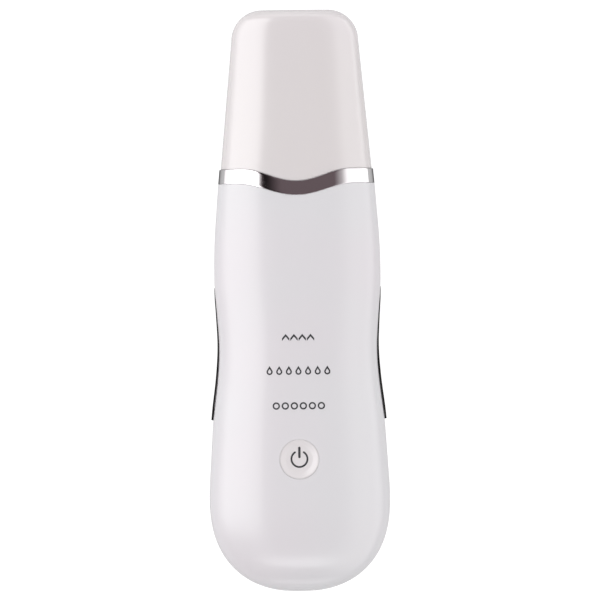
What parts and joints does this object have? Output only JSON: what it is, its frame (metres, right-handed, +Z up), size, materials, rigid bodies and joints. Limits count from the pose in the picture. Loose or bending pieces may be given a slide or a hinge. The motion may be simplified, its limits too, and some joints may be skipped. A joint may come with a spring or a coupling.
{
  "type": "skin scrubber",
  "caption": "Handheld cordless ultrasonic skin scrubber: white shells with a waisted grip, chrome band, pull-off cap over a steel spatula blade, and a push button.",
  "frame": {"origin": "bottom centre of the bounding box: under the middle of the device, on the surface that it lies on", "axes": "+Y along the body from the round tail to the end of the cap, +Z up out of the front face with the button, +X across the body to the right of someone who looks at the front face with the cap at the top"},
  "size_m": [0.054, 0.1739, 0.0244],
  "materials": {
    "shell_plastic": "polished",
    "cap_plastic": "polished",
    "button_plastic": "satin",
    "band_chrome": "mirror",
    "label_film": "satin",
    "dark_chrome": "mirror",
    "contact_brass": "satin",
    "screw_steel": "satin",
    "black_plastic": "matte",
    "ivory_plastic": "matte",
    "blade_steel": "polished",
    "piezo_ceramic": "satin",
    "seal_silicone": "matte",
    "damping_rubber": "matte",
    "board_laminate": "satin",
    "led_plastic": "satin",
    "chip_plastic": "matte",
    "ferrite": "matte",
    "copper_winding": "gloss",
    "capacitor_sleeve": "gloss",
    "resistor_ceramic": "satin",
    "socket_steel": "satin",
    "cell_pouch": "satin",
    "foam_tape": "matte",
    "red_wire": "satin",
    "black_wire": "satin",
    "white_wire": "satin",
    "yellow_wire": "satin"
  },
  "bodies": {
    "housing": {"front_shell": "shell_plastic", "rear_shell": "shell_plastic", "chrome_band": "band_chrome", "nose_plug": "shell_plastic", "rating_label": "label_film", "left_electrode_strip": "dark_chrome", "right_electrode_strip": "dark_chrome", "left_strip_contact": "contact_brass", "right_strip_contact": "contact_brass", "shell_screws": "screw_steel", "switch_body": "black_plastic", "spatula_blade": "blade_steel", "front_piezo_disc": "piezo_ceramic", "rear_piezo_disc": "piezo_ceramic", "blade_seal": "seal_silicone", "blade_clamp": "black_plastic", "clamp_screws": "screw_steel", "front_damping_pad": "damping_rubber", "rear_damping_pad": "damping_rubber", "circuit_board": "board_laminate", "board_screws": "screw_steel", "mode_leds": "led_plastic", "light_shroud": "black_plastic", "microcontroller": "chip_plastic", "charger_chip": "chip_plastic", "power_transistors": "chip_plastic", "transformer_core": "ferrite", "transformer_winding": "copper_winding", "electrolytic_capacitor": "capacitor_sleeve", "chip_resistors": "resistor_ceramic", "charging_socket": "socket_steel", "socket_tongue": "black_plastic", "battery_cell": "cell_pouch", "battery_tape": "foam_tape", "battery_socket": "ivory_plastic", "battery_plug": "ivory_plastic", "battery_lead_red": "red_wire", "battery_lead_black": "black_wire", "piezo_lead_red": "red_wire", "piezo_lead_white": "white_wire", "left_strip_lead": "yellow_wire", "right_strip_lead": "yellow_wire"},
    "cap": {"protective_cap": "cap_plastic"},
    "power_button": {"power_button": "button_plastic"},
    "switch_plunger": {"switch_plunger": "ivory_plastic"}
  },
  "joints": [
    {"name": "cap_slide", "type": "slide", "parent": "housing", "child": "cap", "axis": [0, 1, 0], "range_m": [0, 0.05]},
    {"name": "power_button_press", "type": "slide", "parent": "housing", "child": "power_button", "axis": [0, 0, -1], "range_m": [0, 0.0004], "stiffness_N_per_m": 3000},
    {"name": "switch_plunger_press", "type": "slide", "parent": "housing", "child": "switch_plunger", "axis": [0, 0, -1], "range_m": [0, 0.0004]}
  ],
  "couplings": [
    {"joint": "switch_plunger_press", "follows": "power_button_press", "ratio": 1}
  ]
}
